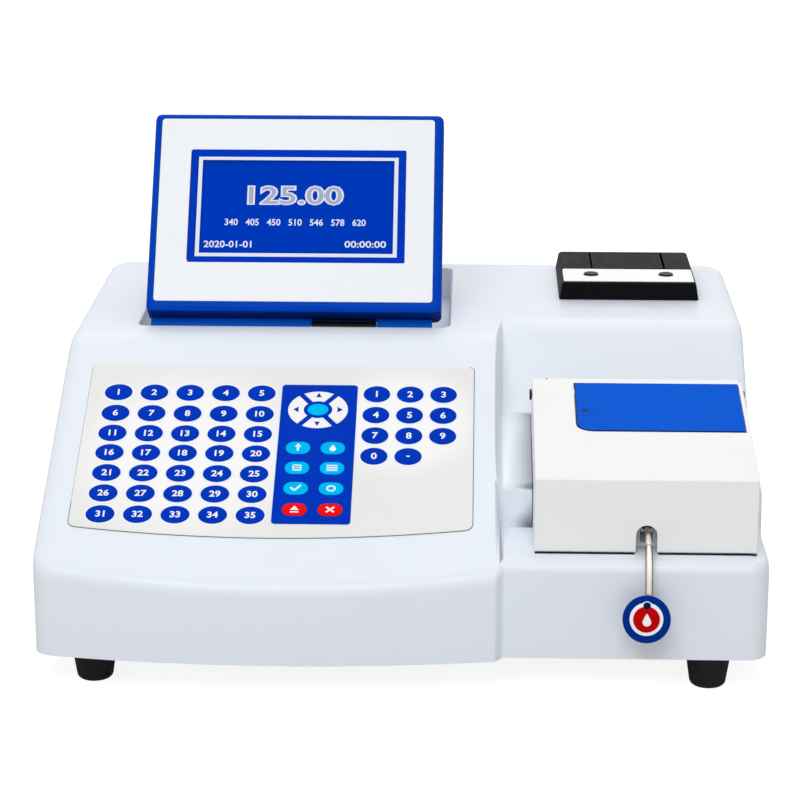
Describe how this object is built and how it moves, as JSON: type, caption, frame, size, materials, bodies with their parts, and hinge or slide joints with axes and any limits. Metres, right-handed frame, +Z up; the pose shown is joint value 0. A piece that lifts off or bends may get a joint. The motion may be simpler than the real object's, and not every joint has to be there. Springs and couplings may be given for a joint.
{
  "type": "semi-automatic chemistry analyzer",
  "caption": "Bench chemistry analyzer with a sloping membrane keypad, a folding display, a thermal printer and a hinged cover over the measuring cell.",
  "frame": {"origin": "on the table under the middle of the box round the object", "axes": "+Z up, -Y towards the operator, +X to the operator's right"},
  "size_m": [0.4264, 0.3961, 0.2862],
  "materials": {
    "housing_white": "satin moulded plastic",
    "cover_white": "satin moulded plastic",
    "film_grey": "printed polyester film",
    "frame_blue": "satin moulded plastic",
    "door_blue": "satin moulded plastic",
    "screen_blue": "polished window of the liquid crystal module",
    "black_plastic": "fine texture",
    "red_label": "printed film",
    "black_rubber": "moulded rubber",
    "steel": "polished stainless steel",
    "zinc_sheet": "zinc-plated sheet",
    "board_green": "glass epoxy board",
    "paper": "thermal paper",
    "alloy": "black anodised"
  },
  "bodies": {
    "base": {"upper_housing": "housing_white", "keypad_overlay": "film_grey", "base_pan": "zinc_sheet", "foot_front_left": "black_rubber", "foot_front_right": "black_rubber", "foot_rear_left": "black_rubber", "foot_rear_right": "black_rubber", "display_lug": "black_plastic", "display_pin": "steel", "printer_body": "black_plastic", "printer_strip": "cover_white", "print_mechanism": "alloy", "cover_bracket": "zinc_sheet", "cover_pin_left": "steel", "cover_pin_right": "steel", "cell_holder": "alloy", "lever_clevis": "black_plastic", "lever_pin": "steel", "rear_panel": "zinc_sheet", "power_inlet": "black_plastic", "switch_frame": "black_plastic", "serial_port": "steel", "waste_outlet": "black_plastic", "fan_frame": "black_plastic", "main_board": "board_green", "power_supply": "zinc_sheet", "optics_rail": "alloy", "lamp_house": "alloy", "lens_tube": "alloy", "flow_block": "alloy", "filter_motor": "steel", "detector": "black_plastic", "pump_motor": "steel", "pump_head": "black_plastic"},
    "display": {"display_shell": "frame_blue", "display_face": "cover_white", "lcd_window": "screen_blue", "display_board": "board_green"},
    "cover": {"sample_cover": "cover_white"},
    "door": {"cover_door": "door_blue"},
    "lever": {"aspirate_rod": "steel", "aspirate_disc": "frame_blue", "aspirate_label": "red_label"},
    "paper_lid": {"printer_lid": "black_plastic"},
    "feed_button": {"printer_button_left": "black_plastic"},
    "power_button": {"printer_button_right": "black_plastic"},
    "roll": {"paper_roll": "paper"},
    "platen": {"platen_roller": "black_rubber"},
    "rocker": {"power_rocker": "black_plastic"},
    "fan": {"fan_rotor": "black_plastic"},
    "wheel": {"filter_wheel": "alloy"},
    "pump": {"pump_rotor": "cover_white"}
  },
  "joints": [
    {"name": "display_tilt", "type": "hinge", "parent": "base", "child": "display", "pos_m": [-0.0742, 0.029, 0.161], "axis": [-1, 0, 0], "range_deg": [0, 54]},
    {"name": "cover_lift", "type": "hinge", "parent": "base", "child": "cover", "pos_m": [0.142, -0.04502, 0.1393], "axis": [-1, 0, 0], "range_deg": [0, 65]},
    {"name": "door_lift", "type": "hinge", "parent": "cover", "child": "door", "pos_m": [0.1534, -0.04939, 0.14504], "axis": [-1, 0, 0], "range_deg": [0, 100]},
    {"name": "aspirate_press", "type": "hinge", "parent": "base", "child": "lever", "pos_m": [0.143, -0.148, 0.0915], "axis": [1, 0, 0], "range_deg": [0, 3.5], "stiffness_Nm_per_rad": 1.2, "springref_deg": -2.86},
    {"name": "paper_lid_lift", "type": "hinge", "parent": "base", "child": "paper_lid", "pos_m": [0.14495, 0.1715, 0.1759], "axis": [-1, 0, 0], "range_deg": [0, 95]},
    {"name": "feed_press", "type": "slide", "parent": "base", "child": "feed_button", "axis": [0, 0, -1], "range_m": [0, 0.0007], "stiffness_N_per_m": 300, "springref_m": -0.0005},
    {"name": "printer_power_press", "type": "slide", "parent": "base", "child": "power_button", "axis": [0, 0, -1], "range_m": [0, 0.0007], "stiffness_N_per_m": 300, "springref_m": -0.0005},
    {"name": "roll_spin", "type": "hinge", "parent": "base", "child": "roll", "pos_m": [0.14495, 0.15135, 0.1478], "axis": [1, 0, 0], "continuous": true},
    {"name": "platen_spin", "type": "hinge", "parent": "base", "child": "platen", "pos_m": [0.14495, 0.1227, 0.164], "axis": [1, 0, 0], "continuous": true},
    {"name": "rocker_tilt", "type": "hinge", "parent": "base", "child": "rocker", "pos_m": [-0.078, 0.1815, 0.068], "axis": [1, 0, 0], "range_deg": [0, 14]},
    {"name": "fan_spin", "type": "hinge", "parent": "base", "child": "fan", "pos_m": [0.09, 0.1712, 0.071], "axis": [0, 1, 0], "continuous": true},
    {"name": "filter_spin", "type": "hinge", "parent": "base", "child": "wheel", "pos_m": [0.179, -0.08442, 0.046], "axis": [1, 0, 0], "continuous": true},
    {"name": "pump_spin", "type": "hinge", "parent": "base", "child": "pump", "pos_m": [0.045, -0.01, 0.056], "axis": [0, 1, 0], "continuous": true}
  ],
  "couplings": [
    {"joint": "platen_spin", "follows": "roll_spin", "ratio": 3.9286}
  ]
}
